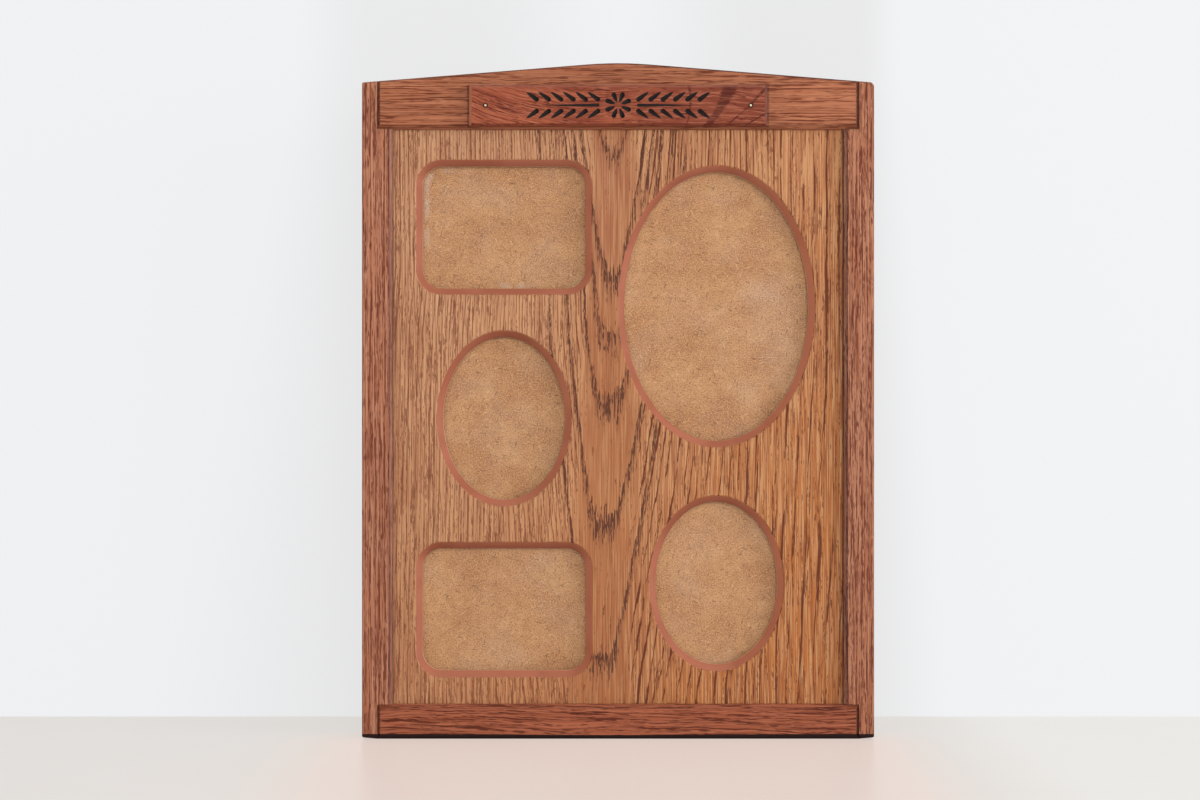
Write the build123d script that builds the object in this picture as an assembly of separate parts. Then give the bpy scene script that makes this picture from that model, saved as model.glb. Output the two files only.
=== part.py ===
from build123d import *

import math
import os

# Collage photo frame: an oak frame round a panel with five bevelled windows, glazed and closed behind.
# Millimetres. The origin is the middle of the foot of the frame, half way through its depth.
# +X is the viewer's right, +Y runs from the front to the back, +Z is up.

# Sight opening and the four members round it
SIGHT_WIDTH = 279.4
SIGHT_HEIGHT = 357.0
STILE_WIDTH = 19.05
BOTTOM_RAIL_HEIGHT = 21.3
TOP_RAIL_END_HEIGHT = 28.8
GABLE_RISE = 12.7
GABLE_ROUND = 240.0
REBATE_WIDTH = 9.525
SIGHT_CHAMFER = 2.4
END_CHAMFER = 1.8
OUTER_CHAMFER = 0.8
FOOT_CHAMFER = 2.5
FOOT_SLOPE = 1.0
CORNER_ROUND = 1.2
WORN_CORNER_ROUND = 3.0

# Layers from the front lip to the back face
LIP_THICKNESS = 6.35
PANEL_THICKNESS = 6.35
VENEER_THICKNESS = 0.6
GLASS_THICKNESS = 2.4
PHOTO_GAP = 0.3
BACKING_THICKNESS = 3.175
BACK_RECESS = 0.475
REBATE_CLEARANCE = 0.4

# Windows in the panel: clear sizes, and the margins from the sight edges to the bevels
WINDOW_BEVEL = 4.4
OBLONG_WIDTH = 101.6
OBLONG_HEIGHT = 76.2
OBLONG_CORNER = 12.0
SMALL_OVAL_WIDTH = 76.2
SMALL_OVAL_HEIGHT = 101.6
LARGE_OVAL_WIDTH = 115.0
LARGE_OVAL_HEIGHT = 167.8
LEFT_MARGIN = 13.5
RIGHT_MARGIN = 16.5
OBLONG_TOP_MARGIN = 18.0
OBLONG_FOOT_MARGIN = 15.9
LARGE_OVAL_TOP_MARGIN = 21.5
SMALL_OVAL_FOOT_MARGIN = 19.6

# Plaque on the top rail
PLAQUE_LENGTH = 184.15
PLAQUE_HEIGHT = 25.4
PLAQUE_THICKNESS = 5.0
PLAQUE_LIFT = 1.3
PLAQUE_CHAMFER = 1.5

# Sprig and rosette cut in the plaque with a round-nosed cutter
STROKE_WIDTH = 3.0
STROKE_DEPTH = 1.1
STEM_DEPTH = 0.45
SPRIG_END = 58.0
SPRIG_START = 12.5
LEAF_PAIRS = 6
LEAF_LENGTH = 8.5
LEAF_ANGLE = 36.0
LEAF_OFFSET = 3.6
PETALS = 8
PETAL_INNER = 1.8
PETAL_OUTER = 7.0

# Pins that hold the plaque, sunk a little in its face
PIN_SHANK = 1.2
PIN_LENGTH = 12.0
PIN_HEAD = 2.2
PIN_HEAD_HEIGHT = 0.6
PIN_HEAD_ROUND = 0.4
PIN_RECESS_WIDTH = 3.0
PIN_RECESS_DEPTH = 0.8
PIN_INSET = 10.1

# Brads that nail each stile to the rail ends
BRAD_SHANK = 1.2
BRAD_LENGTH = 25.0
BRAD_HEAD = 2.0
BRAD_HEAD_HEIGHT = 0.8

# Turn buttons that hold the backing, and their screws
BUTTON_THICKNESS = 1.5
BUTTON_PIVOT_WIDTH = 8.0
BUTTON_TIP_WIDTH = 6.0
BUTTON_REACH = 17.0
BUTTON_CHAMFER = 0.3
BUTTON_PLAY = 0.1
BUTTON_CORNER_DISTANCE = 70.0
SCREW_SHANK = 2.8
SCREW_LENGTH = 11.0
SCREW_POINT = 3.0
SCREW_POINT_WIDTH = 0.6
SCREW_HEAD = 5.6
SCREW_HEAD_HEIGHT = 1.9
SCREW_SLOT = 0.8
SCREW_SLOT_DEPTH = 0.9
SCREW_SLOT_TURN = 37.0
PIVOT_CLEARANCE = 0.08

# Sawtooth hanger and its nails
HANGER_LENGTH = 46.0
HANGER_HEIGHT = 10.0
HANGER_GAUGE = 0.9
HANGER_STAND_OFF = 1.6
HANGER_TAB = 9.0
HANGER_RAMP = 2.4
HANGER_LIFT = 13.0
TOOTH_PITCH = 2.8
TOOTH_DEPTH = 1.9
NAIL_SHANK = 1.4
NAIL_LENGTH = 12.0
NAIL_HEAD = 3.4
NAIL_HEAD_HEIGHT = 0.7

# Room round the shank and head of each driven fastener
FASTENER_CLEARANCE = 0.04

# Places in the width
SIGHT_X = SIGHT_WIDTH / 2
REBATE_X = SIGHT_X + REBATE_WIDTH
OUTER_X = SIGHT_X + STILE_WIDTH
PIN_X = PLAQUE_LENGTH / 2 - PIN_INSET
HANGER_NAIL_X = (HANGER_LENGTH - HANGER_TAB) / 2

# Places in the height
SIGHT_FOOT = BOTTOM_RAIL_HEIGHT
SIGHT_TOP = SIGHT_FOOT + SIGHT_HEIGHT
REBATE_FOOT = SIGHT_FOOT - REBATE_WIDTH
REBATE_TOP = SIGHT_TOP + REBATE_WIDTH
GABLE_END = SIGHT_TOP + TOP_RAIL_END_HEIGHT
GABLE_PEAK = GABLE_END + GABLE_RISE
PLAQUE_Z = SIGHT_TOP + PLAQUE_LIFT + PLAQUE_HEIGHT / 2
HANGER_Z = REBATE_TOP + HANGER_LIFT

# Places in the depth
PANEL_STACK = PANEL_THICKNESS + GLASS_THICKNESS + PHOTO_GAP + BACKING_THICKNESS
FRAME_DEPTH = LIP_THICKNESS + PANEL_STACK + BACK_RECESS
FRONT_Y = -FRAME_DEPTH / 2
BACK_Y = FRAME_DEPTH / 2
PANEL_Y = FRONT_Y + LIP_THICKNESS
CORE_Y = PANEL_Y + VENEER_THICKNESS
BEVEL_Y = PANEL_Y + WINDOW_BEVEL
GLASS_Y = PANEL_Y + PANEL_THICKNESS
BACKING_Y = GLASS_Y + GLASS_THICKNESS + PHOTO_GAP
PLAQUE_Y = FRONT_Y - PLAQUE_THICKNESS
PIN_SEAT_Y = PLAQUE_Y + PIN_RECESS_DEPTH
BUTTON_Y = BACK_Y + BUTTON_PLAY
SCREW_HEAD_Y = BUTTON_Y + BUTTON_THICKNESS + BUTTON_PLAY

SIDES = {"left": -1, "right": 1}
TO_BACK = (0, 1, 0)
TO_FRONT = (0, -1, 0)


# Small helpers


def block(x0, x1, y0, y1, z0, z1):
    """A box between two opposite corners."""
    size = Box(abs(x1 - x0), abs(y1 - y0), abs(z1 - z0))
    return Pos((x0 + x1) / 2, (y0 + y1) / 2, (z0 + z1) / 2) * size


def upright(y):
    """The upright plane at depth y as seen from the front: its x is X, its y is Z, its normal is -Y."""
    return Plane(origin=(0, y, 0), x_dir=(1, 0, 0), z_dir=TO_FRONT)


def rod(width, length, start, direction):
    """A round bar from start along direction."""
    return extrude(Plane(origin=start, z_dir=direction) * Circle(width / 2), length)


def cut_all(piece, cutters):
    """The piece with every cutter taken out of it."""
    for cutter in cutters:
        piece -= cutter
    return piece


def front_face(piece):
    return piece.faces().sort_by(Axis.Y)[0]


def back_face(piece):
    return piece.faces().sort_by(Axis.Y)[-1]


def gable_height(x):
    """Height of the sloping top at x, before its peak is rounded."""
    return GABLE_PEAK - GABLE_RISE * abs(x) / OUTER_X


# Fasteners, each also used a little larger to cut its own hole


def nail(shank, length, head, head_height, start, direction, room=0.0):
    """A nail with the top of its head at start, pointing along direction."""
    shaft = rod(shank + 2 * room, length + room, start, direction)
    return shaft + rod(head + 2 * room, head_height, start, direction)


def corner_brads(room=0.0):
    """Two brads at each corner, driven through the stile into the end of the rail."""
    heights = (REBATE_FOOT / 2, (REBATE_TOP + GABLE_END) / 2)
    depths = (FRONT_Y / 2, BACK_Y / 2)
    return [
        nail(BRAD_SHANK, BRAD_LENGTH, BRAD_HEAD, BRAD_HEAD_HEIGHT, (side * OUTER_X, y, z), (-side, 0, 0), room)
        for side in SIDES.values()
        for z in heights
        for y in depths
    ]


def plaque_pins(room=0.0):
    """Two pins through the plaque into the top rail, with rounded heads when there is no room to add."""
    pins = []
    for side in SIDES.values():
        start = (side * PIN_X, PIN_SEAT_Y - PIN_HEAD_HEIGHT, PLAQUE_Z)
        pin = nail(PIN_SHANK, PIN_LENGTH, PIN_HEAD, PIN_HEAD_HEIGHT, start, TO_BACK, room)
        if not room:
            pin = fillet(front_face(pin).edges(), PIN_HEAD_ROUND)
        pins.append(pin)
    return pins


def hanger_nails(room=0.0):
    """Two nails through the tabs of the hanger into the top rail."""
    start_y = BACK_Y + HANGER_GAUGE + NAIL_HEAD_HEIGHT
    return [
        nail(
            NAIL_SHANK,
            NAIL_LENGTH,
            NAIL_HEAD,
            NAIL_HEAD_HEIGHT,
            (side * HANGER_NAIL_X, start_y, HANGER_Z),
            TO_FRONT,
            room,
        )
        for side in SIDES.values()
    ]


def button_places():
    """Pivot of each turn button by name, as x, z and the turn in degrees from pointing to the right."""
    side_x = (REBATE_X + OUTER_X) / 2
    side_z = {"upper": SIGHT_TOP - BUTTON_CORNER_DISTANCE, "lower": SIGHT_FOOT + BUTTON_CORNER_DISTANCE}
    rail_x = SIGHT_X - BUTTON_CORNER_DISTANCE
    places = {}
    for level, z in side_z.items():
        places[f"left_{level}"] = (-side_x, z, 0)
        places[f"right_{level}"] = (side_x, z, 180)
    for side, sign in SIDES.items():
        places[f"top_{side}"] = (sign * rail_x, REBATE_TOP + side_x - REBATE_X, -90)
        places[f"bottom_{side}"] = (sign * rail_x, REBATE_FOOT / 2, 90)
    return places


def screw_shank(x, z, room=0.0):
    """The straight and pointed part of a screw that is driven forward from behind."""
    straight = SCREW_LENGTH - SCREW_POINT
    width = SCREW_SHANK + 2 * room
    shank = rod(width, straight, (x, SCREW_HEAD_Y, z), TO_FRONT)
    point_start = Plane(origin=(x, SCREW_HEAD_Y - straight, z), z_dir=TO_FRONT)
    point_end = Plane(origin=(x, SCREW_HEAD_Y - SCREW_LENGTH - room, z), z_dir=TO_FRONT)
    return shank + loft([point_start * Circle(width / 2), point_end * Circle(SCREW_POINT_WIDTH / 2 + room)])


def button_screw(x, z, slot_turn):
    """A domed, slotted wood screw."""
    dome_radius = ((SCREW_HEAD / 2) ** 2 + SCREW_HEAD_HEIGHT**2) / (2 * SCREW_HEAD_HEIGHT)
    crown_y = SCREW_HEAD_Y + SCREW_HEAD_HEIGHT
    head = rod(SCREW_HEAD, SCREW_HEAD_HEIGHT, (x, SCREW_HEAD_Y, z), TO_BACK)
    head &= Pos(x, crown_y - dome_radius, z) * Sphere(dome_radius)
    slot = Rot(0, slot_turn, 0) * Box(2 * SCREW_HEAD, SCREW_SLOT_DEPTH, SCREW_SLOT)
    head -= Pos(x, crown_y - SCREW_SLOT_DEPTH / 2, z) * slot
    return screw_shank(x, z) + head


def button_screws():
    return [
        button_screw(x, z, SCREW_SLOT_TURN * number)
        for number, (x, z, _) in enumerate(button_places().values())
    ]


def pilot_holes():
    """Holes in the wood for every fastener."""
    bores = [screw_shank(x, z, FASTENER_CLEARANCE) for x, z, _ in button_places().values()]
    nails = [*corner_brads(FASTENER_CLEARANCE), *plaque_pins(FASTENER_CLEARANCE), *hanger_nails(FASTENER_CLEARANCE)]
    return bores + nails


# The four members


def foot_bevel():
    """The wedge that is planed off the front edge of the foot, over the whole width."""
    corners = Polyline((FRONT_Y, 0), (FRONT_Y + FOOT_CHAMFER, 0), (FRONT_Y, FOOT_CHAMFER), close=True)
    return extrude(Plane.YZ.offset(-OUTER_X) * make_face(corners), 2 * OUTER_X)


def stile(side):
    """An upright: an outer wall of full height, and a lip that covers the panel's edge between the rails.

    Its foot rises a little towards the outside, and the top corner of the right one is worn round.
    """
    outer, inner, sight = side * OUTER_X, side * REBATE_X, side * SIGHT_X
    corners = Polyline(
        (outer, FOOT_SLOPE), (inner, 0), (inner, gable_height(inner)), (outer, gable_height(outer)), close=True
    )
    outline = make_face(corners)
    foot_corner, top_corner = outline.vertices().sort_by(Axis.X, reverse=side > 0)[:2].sort_by(Axis.Y)
    outline = fillet(foot_corner, CORNER_ROUND)
    top_corner = outline.vertices().sort_by_distance(top_corner)[0]
    outline = fillet(top_corner, WORN_CORNER_ROUND if side > 0 else CORNER_ROUND)
    wall = extrude(upright(BACK_Y) * outline, FRAME_DEPTH)
    for face in (front_face, back_face):
        eased = face(wall).edges().sort_by(Axis.X, reverse=side > 0)[:-1]
        wall = chamfer(eased, OUTER_CHAMFER)
    lip = block(inner, sight, FRONT_Y, PANEL_Y, SIGHT_FOOT, SIGHT_TOP)
    sight_edge = front_face(lip).edges().sort_by(Axis.X, reverse=side > 0)[-1]
    return cut_all(wall + chamfer(sight_edge, SIGHT_CHAMFER), [foot_bevel(), *pilot_holes()])


def rail(outline, rebate_foot, rebate_top, sight_edge, outer_edges):
    """A cross member from its front outline: rebated behind the sight edge, with its edges eased.

    sight_edge and outer_edges pick those edges of a face from the lowest to the highest.
    """
    bar = extrude(upright(BACK_Y) * outline, FRAME_DEPTH)
    bar -= block(-REBATE_X, REBATE_X, PANEL_Y, BACK_Y, rebate_foot, rebate_top)
    bar = chamfer(front_face(bar).edges().sort_by(Axis.Z)[sight_edge], SIGHT_CHAMFER)
    edges = front_face(bar).edges().sort_by(Axis.X)
    bar = chamfer([edges[0], edges[-1]], END_CHAMFER)
    for face in (front_face, back_face):
        bar = chamfer(face(bar).edges().sort_by(Axis.Z)[outer_edges], OUTER_CHAMFER)
    return cut_all(bar, pilot_holes())


def bottom_rail():
    outline = Pos(0, SIGHT_FOOT / 2) * Rectangle(2 * REBATE_X, SIGHT_FOOT)
    bar = rail(outline, REBATE_FOOT, SIGHT_FOOT, sight_edge=-1, outer_edges=slice(0, 1))
    return bar - foot_bevel()


def top_rail():
    shoulder = gable_height(REBATE_X)
    corners = Polyline(
        (-REBATE_X, SIGHT_TOP),
        (REBATE_X, SIGHT_TOP),
        (REBATE_X, shoulder),
        (0, GABLE_PEAK),
        (-REBATE_X, shoulder),
        close=True,
    )
    outline = make_face(corners)
    outline = fillet(outline.vertices().sort_by(Axis.Y)[-1], GABLE_ROUND)
    return rail(outline, SIGHT_TOP, REBATE_TOP, sight_edge=0, outer_edges=slice(-3, None))


# Panel, glass and backing


def windows():
    """Name, kind of outline, centre and clear size of each window."""
    left_x = -SIGHT_X + LEFT_MARGIN + WINDOW_BEVEL + OBLONG_WIDTH / 2
    right_x = SIGHT_X - RIGHT_MARGIN - WINDOW_BEVEL - LARGE_OVAL_WIDTH / 2
    upper_z = SIGHT_TOP - OBLONG_TOP_MARGIN - WINDOW_BEVEL - OBLONG_HEIGHT / 2
    lower_z = SIGHT_FOOT + OBLONG_FOOT_MARGIN + WINDOW_BEVEL + OBLONG_HEIGHT / 2
    large_z = SIGHT_TOP - LARGE_OVAL_TOP_MARGIN - WINDOW_BEVEL - LARGE_OVAL_HEIGHT / 2
    small_z = SIGHT_FOOT + SMALL_OVAL_FOOT_MARGIN + WINDOW_BEVEL + SMALL_OVAL_HEIGHT / 2
    return [
        ("upper_oblong", "oblong", left_x, upper_z, OBLONG_WIDTH, OBLONG_HEIGHT),
        ("left_oval", "oval", left_x, (upper_z + lower_z) / 2, SMALL_OVAL_WIDTH, SMALL_OVAL_HEIGHT),
        ("lower_oblong", "oblong", left_x, lower_z, OBLONG_WIDTH, OBLONG_HEIGHT),
        ("large_oval", "oval", right_x, large_z, LARGE_OVAL_WIDTH, LARGE_OVAL_HEIGHT),
        ("right_oval", "oval", right_x, small_z, SMALL_OVAL_WIDTH, SMALL_OVAL_HEIGHT),
    ]


def window_outline(window, y):
    """The outline of a window at depth y: it narrows at 45 degrees down to its clear size."""
    _, kind, x, z, width, height = window
    grow = max(BEVEL_Y - y, 0)
    if kind == "oval":
        shape = Ellipse(width / 2 + grow, height / 2 + grow)
    else:
        shape = RectangleRounded(width + 2 * grow, height + 2 * grow, OBLONG_CORNER + grow)
    return upright(y) * Pos(x, z) * shape


def window_cut(window, front, back):
    """The hole of a window between two depths: bevelled in front, straight behind."""
    bevel_back = min(back, BEVEL_Y)
    cut = loft([window_outline(window, front), window_outline(window, bevel_back)], ruled=True)
    if back > bevel_back:
        cut += extrude(window_outline(window, back), back - bevel_back)
    return cut


def sheet(front, back):
    """A sheet that fills the rebate, less its clearance, between two depths."""
    x = REBATE_X - REBATE_CLEARANCE
    return block(-x, x, front, back, REBATE_FOOT + REBATE_CLEARANCE, REBATE_TOP - REBATE_CLEARANCE)


def windowed_sheet(front, back):
    return cut_all(sheet(front, back), [window_cut(window, front, back) for window in windows()])


def panel_veneer():
    return windowed_sheet(PANEL_Y, CORE_Y)


def panel_core():
    return windowed_sheet(CORE_Y, GLASS_Y)


def glass_pane():
    return sheet(GLASS_Y, GLASS_Y + GLASS_THICKNESS)


def backing_board():
    return sheet(BACKING_Y, BACKING_Y + BACKING_THICKNESS)


# Plaque and its ornament


def stroke(start, end, start_depth, end_depth):
    """The path of a round-nosed cutter between two points of the plaque's face, given as x and z."""
    radius = ((STROKE_WIDTH / 2) ** 2 + STROKE_DEPTH**2) / (2 * STROKE_DEPTH)
    first = Vector(start[0], PLAQUE_Y + start_depth - radius, PLAQUE_Z + start[1])
    last = Vector(end[0], PLAQUE_Y + end_depth - radius, PLAQUE_Z + end[1])
    path = rod(2 * radius, (last - first).length, first, last - first)
    return path + Pos(*first) * Sphere(radius) + Pos(*last) * Sphere(radius)


def rosette():
    """Petals that are deep and wide at their outer ends and run out towards the middle."""
    strokes = []
    for number in range(PETALS):
        angle = 2 * math.pi * (number + 0.5) / PETALS
        across, up = math.cos(angle), math.sin(angle)
        outer = (PETAL_OUTER * across, PETAL_OUTER * up)
        inner = (PETAL_INNER * across, PETAL_INNER * up)
        strokes.append(stroke(outer, inner, STROKE_DEPTH, 0))
    return strokes


def sprig(side):
    """A shallow stem with pairs of leaves that run out to points."""
    pitch = (SPRIG_END - SPRIG_START) / LEAF_PAIRS
    lean = math.radians(LEAF_ANGLE)
    leaf_run, leaf_rise = LEAF_LENGTH * math.cos(lean), LEAF_LENGTH * math.sin(lean)
    strokes = [stroke((side * SPRIG_START, 0), (side * SPRIG_END, 0), STEM_DEPTH, 0)]
    for number in range(LEAF_PAIRS):
        foot = SPRIG_START + pitch * number
        for way in (1, -1):
            start = (side * foot, way * LEAF_OFFSET)
            end = (side * (foot + leaf_run), way * (LEAF_OFFSET + leaf_rise))
            strokes.append(stroke(start, end, STROKE_DEPTH, 0))
    return strokes


def plaque():
    x, z = PLAQUE_LENGTH / 2, PLAQUE_HEIGHT / 2
    board = block(-x, x, PLAQUE_Y, FRONT_Y, PLAQUE_Z - z, PLAQUE_Z + z)
    board = chamfer(front_face(board).edges(), PLAQUE_CHAMFER)
    recesses = [
        rod(PIN_RECESS_WIDTH, PIN_RECESS_DEPTH, (side * PIN_X, PLAQUE_Y, PLAQUE_Z), TO_BACK)
        for side in SIDES.values()
    ]
    ornament = [cut for side in SIDES.values() for cut in sprig(side)] + rosette()
    return cut_all(board, recesses + plaque_pins(FASTENER_CLEARANCE) + ornament)


# Turn buttons and hanger


def turn_button(x, z, turn):
    """A flat, tapered button that lies over the backing and turns on its screw."""
    pivot = Circle(BUTTON_PIVOT_WIDTH / 2)
    tip = Pos(BUTTON_REACH, 0) * Circle(BUTTON_TIP_WIDTH / 2)
    outline = make_hull([*pivot.edges(), *tip.edges()])
    place = upright(BUTTON_Y + BUTTON_THICKNESS) * Pos(x, z) * Rot(0, 0, turn)
    blank = extrude(place * outline, BUTTON_THICKNESS)
    blank = chamfer(back_face(blank).edges(), BUTTON_CHAMFER)
    return blank - rod(SCREW_SHANK + 2 * PIVOT_CLEARANCE, BUTTON_THICKNESS, (x, BUTTON_Y, z), TO_BACK)


def hanger_plate():
    """A pressed strip: two nailed tabs, and a raised bar with teeth along its lower edge."""
    end = HANGER_LENGTH / 2
    tab = end - HANGER_TAB
    bar = tab - HANGER_RAMP
    bar_y = BACK_Y + HANGER_STAND_OFF
    under = [(-end, BACK_Y), (-tab, BACK_Y), (-bar, bar_y), (bar, bar_y), (tab, BACK_Y), (end, BACK_Y)]
    over = [(x, y + HANGER_GAUGE) for x, y in reversed(under)]
    foot = HANGER_Z - HANGER_HEIGHT / 2
    strip = extrude(Plane.XY.offset(foot) * make_face(Polyline(*under, *over, close=True)), HANGER_HEIGHT)
    teeth = int(2 * bar / TOOTH_PITCH)
    notches = []
    for number in range(teeth):
        x = (number - (teeth - 1) / 2) * TOOTH_PITCH
        half = TOOTH_PITCH / 2
        corners = Polyline((x - half, foot), (x + half, foot), (x, foot + TOOTH_DEPTH), close=True)
        notches.append(extrude(upright(bar_y + HANGER_GAUGE) * make_face(corners), HANGER_GAUGE))
    return cut_all(strip, notches + hanger_nails(FASTENER_CLEARANCE))


def nodes():
    """Every separate piece by its node name; like fasteners share a node."""
    made = {
        "left_stile": stile(SIDES["left"]),
        "right_stile": stile(SIDES["right"]),
        "bottom_rail": bottom_rail(),
        "top_rail": top_rail(),
        "panel_veneer": panel_veneer(),
        "panel_core": panel_core(),
        "glass_pane": glass_pane(),
        "backing_board": backing_board(),
        "plaque": plaque(),
        "plaque_pins": Compound(children=plaque_pins()),
        "corner_brads": Compound(children=corner_brads()),
        "hanger_plate": hanger_plate(),
        "hanger_nails": Compound(children=hanger_nails()),
        "turn_button_screws": Compound(children=button_screws()),
    }
    for name, place in button_places().items():
        made[f"turn_button_{name}"] = turn_button(*place)
    return made


def main():
    os.makedirs("parts", exist_ok=True)
    for name, shape in nodes().items():
        export_step(shape, f"parts/{name}.step")


if __name__ == "__main__":
    main()
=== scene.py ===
import math

import bpy
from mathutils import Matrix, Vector


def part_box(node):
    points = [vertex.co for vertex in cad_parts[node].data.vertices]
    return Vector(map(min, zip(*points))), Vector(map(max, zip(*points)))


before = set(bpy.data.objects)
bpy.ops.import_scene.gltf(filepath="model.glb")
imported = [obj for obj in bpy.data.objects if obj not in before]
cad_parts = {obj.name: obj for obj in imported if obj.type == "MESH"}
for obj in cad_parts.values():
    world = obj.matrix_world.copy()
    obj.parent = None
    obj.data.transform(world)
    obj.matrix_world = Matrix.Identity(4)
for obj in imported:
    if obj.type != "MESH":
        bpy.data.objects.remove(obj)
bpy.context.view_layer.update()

# Looks of a collage photo frame: stained oak, a veneered panel, glass and hardboard, on a table by a wall.
# The scene is in metres. Patterns inside materials are in millimetres, in the same frame: +X is the viewer's
# right, +Y runs from the front to the back, +Z is up.
MM = 1000.0

# Places on the frame's pieces that the patterns refer to, in millimetres
SIGHT_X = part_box("right_stile")[0].x * MM
REBATE_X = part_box("bottom_rail")[1].x * MM
SIGHT_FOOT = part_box("bottom_rail")[1].z * MM
SIGHT_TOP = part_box("top_rail")[0].z * MM
PLAQUE_LOW, PLAQUE_HIGH = (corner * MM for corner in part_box("plaque"))
PLAQUE_Z = (PLAQUE_LOW.z + PLAQUE_HIGH.z) / 2
PANEL_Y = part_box("panel_veneer")[0].y * MM
BACKING_MIDDLE_Y = sum(corner.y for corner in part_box("backing_board")) / 2 * MM

# Eased edges, in millimetres: the plaque's rim is its chamfer and a hair of its face
SIGHT_CHAMFER = 2.4
FOOT_CHAMFER = 2.5
PLAQUE_RIM = 1.7
WINDOW_BEVEL = 4.4

# Glass: the middle, size and corner radius of the upper left window, which rub marks follow, the middle of a
# pale patch painted as a reflection, in x and z, and the share of the pane that the eye looks straight
# through
UPPER_WINDOW_PLACE = (-71.0, 317.8)
UPPER_WINDOW_SIZE = (101.6, 76.2)
UPPER_WINDOW_CORNER = 12.0
REFLECTION_PATCH_PLACE = (97.0, 262.0)
GLASS_CLEARNESS = 0.8

# Camera: 36 mm wide sensor, level, square to the frame
CAMERA_PLACE = (-0.0112, -1.5095, 0.21022)
CAMERA_LENS = 72.62
CAMERA_SENSOR = 36.0

# Stage: its size in metres, its tones, the shares of them that show by themselves, and the table's gloss
STAGE_REACH = 4.0
WALL_Y = 0.098
WALL_TONE = (241, 242, 244)
WALL_SHADE_TONE = (231, 231, 231)
WALL_GLOW = 0.9
FLOOR_TONE = (240, 235, 230)
# Tones of the painted light on the table's right and of its painted reflection of the frame
FLOOR_LIT_RIGHT_TONE = (250, 248, 243)
FLOOR_REFLECTION_TONE = (250, 231, 221)
FLOOR_GLOW = 0.6
FLOOR_GLOSS = 0.9

# Shades on the wall beside the frame, in millimetres: where each ends in x at the table and at the frame's
# top, where it is full, and how deep it is
WALL_SHADE_TOP = 420
WALL_SHADES = ((228, 190, 160, 0.9), (-320, -220, -160, 0.75))

# Painted reflection of the frame on the table, a warm patch, in millimetres: where it starts and where it is
# full, from each side
REFLECTION_LEFT = (-230, -150)
REFLECTION_RIGHT = (210, 150)
REFLECTION_BACK = (40, -20)
REFLECTION_FRONT = (-420, -250)

# Light from all sides
WORLD_TONE = (250, 252, 255)
WORLD_STRENGTH = 0.36

# Soft lamps: place, width, power, and whether glossy surfaces mirror them. All point at one place, and their
# lower edges stay clear of the table.
LAMP_TARGET = (0.0, 0.0, 0.2)
LAMP_CLEARANCE = 0.1
LAMPS = {
    "key": ((0.2, -2.4, 0.6), 1.0, 20.5, False),
    "side": ((2.2, -1.2, 0.6), 1.4, 28.0, True),
    "fill": ((-1.0, -2.2, 0.4), 1.2, 4.2, False),
    "overhead": ((0.2, -0.9, 2.6), 1.8, 7.0, True),
}

# Cathedral figure of the veneer, in millimetres: two points of the arches' axis in x and z, the height where
# each arch turns, how round the arches are there, how fast their sides lean out above it, how far a ring
# fades, and the depth below the panel's top for which the nearly upright lines at the sides are drawn
ARCH_AXIS = ((-11.4, 32.0), (-3.2, 287.0))
ARCHES = (366, 291, 256, 214, 139, 54)
ARCH_ROUND = 2.0
ARCH_LEAN = 0.0175
RING_FADE = 1.2
FLANK_DROP = 190.0

# Looks of the solid oak members, as stained_oak takes them, and how far apart their patterns are drawn
MEMBERS = {
    "left_stile": dict(
        upright=True, seed=1, tones=((174, 107, 76), (200, 144, 113), (104, 44, 26)), spacing=3.2,
        sway_reach=0.7, pore_length=7.0, density=0.74, slant=0.0,
    ),
    "right_stile": dict(
        upright=True, seed=2, tones=((170, 104, 73), (198, 144, 112), (98, 40, 24)), spacing=2.9,
        sway_reach=0.7, pore_length=6.0, density=0.78, slant=0.0,
    ),
    "top_rail": dict(
        upright=False, seed=3, tones=((173, 103, 70), (196, 130, 94), (98, 40, 20)), spacing=4.0,
        sway_reach=2.5, pore_length=11.0, density=0.68, slant=0.0,
    ),
    "bottom_rail": dict(
        upright=False, seed=4, tones=((161, 86, 57), (182, 107, 76), (82, 29, 13)), spacing=4.6,
        sway_reach=6.0, pore_length=8.0, density=0.66, slant=0.05,
    ),
}
MEMBER_STEP = 900.0

# Usual specular level
SHEEN = 0.3


def srgb(red, green, blue):
    """A colour as a picture shows it, 0 to 255, as the linear colour that shaders take."""
    shares = [value / 255 for value in (red, green, blue)]
    linear = [share / 12.92 if share <= 0.04045 else ((share + 0.055) / 1.055) ** 2.4 for share in shares]
    return (*linear, 1.0)


class Field:
    """A number or colour that changes over a surface. Arithmetic on it adds nodes to its shader."""

    def __init__(self, shader, socket):
        self.shader = shader
        self.socket = socket

    def __add__(self, other):
        return self.shader.math("ADD", self, other)

    def __sub__(self, other):
        return self.shader.math("SUBTRACT", self, other)

    def __rsub__(self, other):
        return self.shader.math("SUBTRACT", other, self)

    def __mul__(self, other):
        return self.shader.math("MULTIPLY", self, other)

    def __truediv__(self, other):
        return self.shader.math("DIVIDE", self, other)

    def __pow__(self, other):
        return self.shader.math("POWER", self, other)

    def __abs__(self):
        return self.shader.math("ABSOLUTE", self)

    __radd__ = __add__
    __rmul__ = __mul__

    def fraction(self):
        return self.shader.math("FRACT", self)

    def wave(self):
        return self.shader.math("SINE", self)

    def most(self, other):
        return self.shader.math("MAXIMUM", self, other)

    def step(self, start, end):
        """0 before start, 1 past end, and smooth between them. End may lie below start."""
        inputs = {"Value": self, "From Min": start, "From Max": end}
        return self.shader.add("MapRange", inputs, interpolation_type="SMOOTHSTEP")

    def fit(self, start, end, first, last):
        """Runs straight from first at start to last at end, and stays there beyond."""
        inputs = {"Value": self, "From Min": start, "From Max": end, "To Min": first, "To Max": last}
        return self.shader.add("MapRange", inputs)

    def near(self, place, reach):
        """1 at place, falling to 0 at that reach from it."""
        return abs(self - place).step(reach, 0.4 * reach)


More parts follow.
